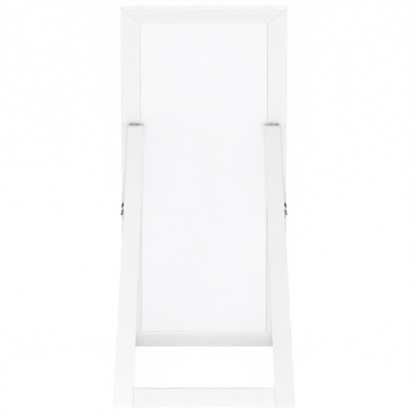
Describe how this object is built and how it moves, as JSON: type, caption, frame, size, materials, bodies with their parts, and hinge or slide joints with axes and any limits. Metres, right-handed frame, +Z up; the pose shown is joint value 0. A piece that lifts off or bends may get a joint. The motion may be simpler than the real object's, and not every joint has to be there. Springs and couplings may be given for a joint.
{
  "type": "full-length mirror",
  "caption": "Full-length floor mirror: mitred white frame with glass and back panel, leaning on a hinged rear stand of splayed legs, a foot rail and folding steel stays",
  "frame": {"origin": "on the floor, under the middle of the standing mirror's box", "axes": "+Z up, +Y out of the mirror's face, +X to the right seen from behind"},
  "size_m": [0.6638, 0.4262, 1.6012],
  "materials": {
    "white_paint": "satin white paint on wood",
    "panel_white": "smooth cool-white faced board",
    "silvered_glass": "polished silvered glass",
    "grey_foam": "thin foam sheet",
    "beech": "bare pressed beech",
    "dark_steel": "dark satin steel",
    "grey_steel": "plain grey steel",
    "white_steel": "white lacquered steel",
    "zinc_steel": "zinc plated steel"
  },
  "bodies": {
    "frame": {"top_rail": "white_paint", "bottom_rail": "white_paint", "left_stile": "white_paint", "right_stile": "white_paint", "corner_biscuits": "beech", "mirror_glass": "silvered_glass", "foam_sheet": "grey_foam", "back_panel": "panel_white", "panel_points": "white_steel", "left_hinge_frame_leaf": "grey_steel", "right_hinge_frame_leaf": "grey_steel", "hinge_frame_screws": "zinc_steel", "left_hinge_pin": "grey_steel", "right_hinge_pin": "grey_steel", "left_stay_frame_bracket": "dark_steel", "right_stay_frame_bracket": "dark_steel", "stay_frame_screws": "zinc_steel", "left_stay_frame_rivet": "dark_steel", "right_stay_frame_rivet": "dark_steel"},
    "stand": {"left_leg": "white_paint", "right_leg": "white_paint", "foot_rail": "white_paint", "foot_rail_dowels": "beech", "left_hinge_leg_leaf": "grey_steel", "right_hinge_leg_leaf": "grey_steel", "hinge_leg_screws": "zinc_steel", "left_stay_leg_plate": "dark_steel", "right_stay_leg_plate": "dark_steel", "stay_leg_screws": "zinc_steel"},
    "left_stay_front": {"left_stay_frame_link": "dark_steel", "left_stay_elbow_rivet": "dark_steel"},
    "left_stay_rear": {"left_stay_leg_link": "dark_steel", "left_stay_leg_rivet": "dark_steel"},
    "right_stay_front": {"right_stay_frame_link": "dark_steel", "right_stay_elbow_rivet": "dark_steel"},
    "right_stay_rear": {"right_stay_leg_link": "dark_steel", "right_stay_leg_rivet": "dark_steel"}
  },
  "joints": [
    {"name": "stand_fold", "type": "hinge", "parent": "frame", "child": "stand", "pos_m": [0, 0.04311, 1.06487], "axis": [1, 0, 0], "range_deg": [0, 20.34]},
    {"name": "left_stay_swing", "type": "hinge", "parent": "frame", "child": "left_stay_front", "pos_m": [-0.29726, 0.08988, 0.67963], "axis": [1, 0, 0], "range_deg": [-60.33, 0]},
    {"name": "left_stay_elbow", "type": "hinge", "parent": "left_stay_front", "child": "left_stay_rear", "pos_m": [-0.29916, 0.00118, 0.71497], "axis": [1, 0, 0], "range_deg": [0, 169.84]},
    {"name": "right_stay_swing", "type": "hinge", "parent": "frame", "child": "right_stay_front", "pos_m": [0.29726, 0.08988, 0.67963], "axis": [1, 0, 0], "range_deg": [-60.33, 0]},
    {"name": "right_stay_elbow", "type": "hinge", "parent": "right_stay_front", "child": "right_stay_rear", "pos_m": [0.29916, 0.00118, 0.71497], "axis": [1, 0, 0], "range_deg": [0, 169.84]}
  ],
  "couplings": [
    {"joint": "left_stay_swing", "follows": "stand_fold", "ratio": -2.9635},
    {"joint": "left_stay_elbow", "follows": "stand_fold", "ratio": 8.3477},
    {"joint": "right_stay_swing", "follows": "stand_fold", "ratio": -2.9635},
    {"joint": "right_stay_elbow", "follows": "stand_fold", "ratio": 8.3477}
  ]
}
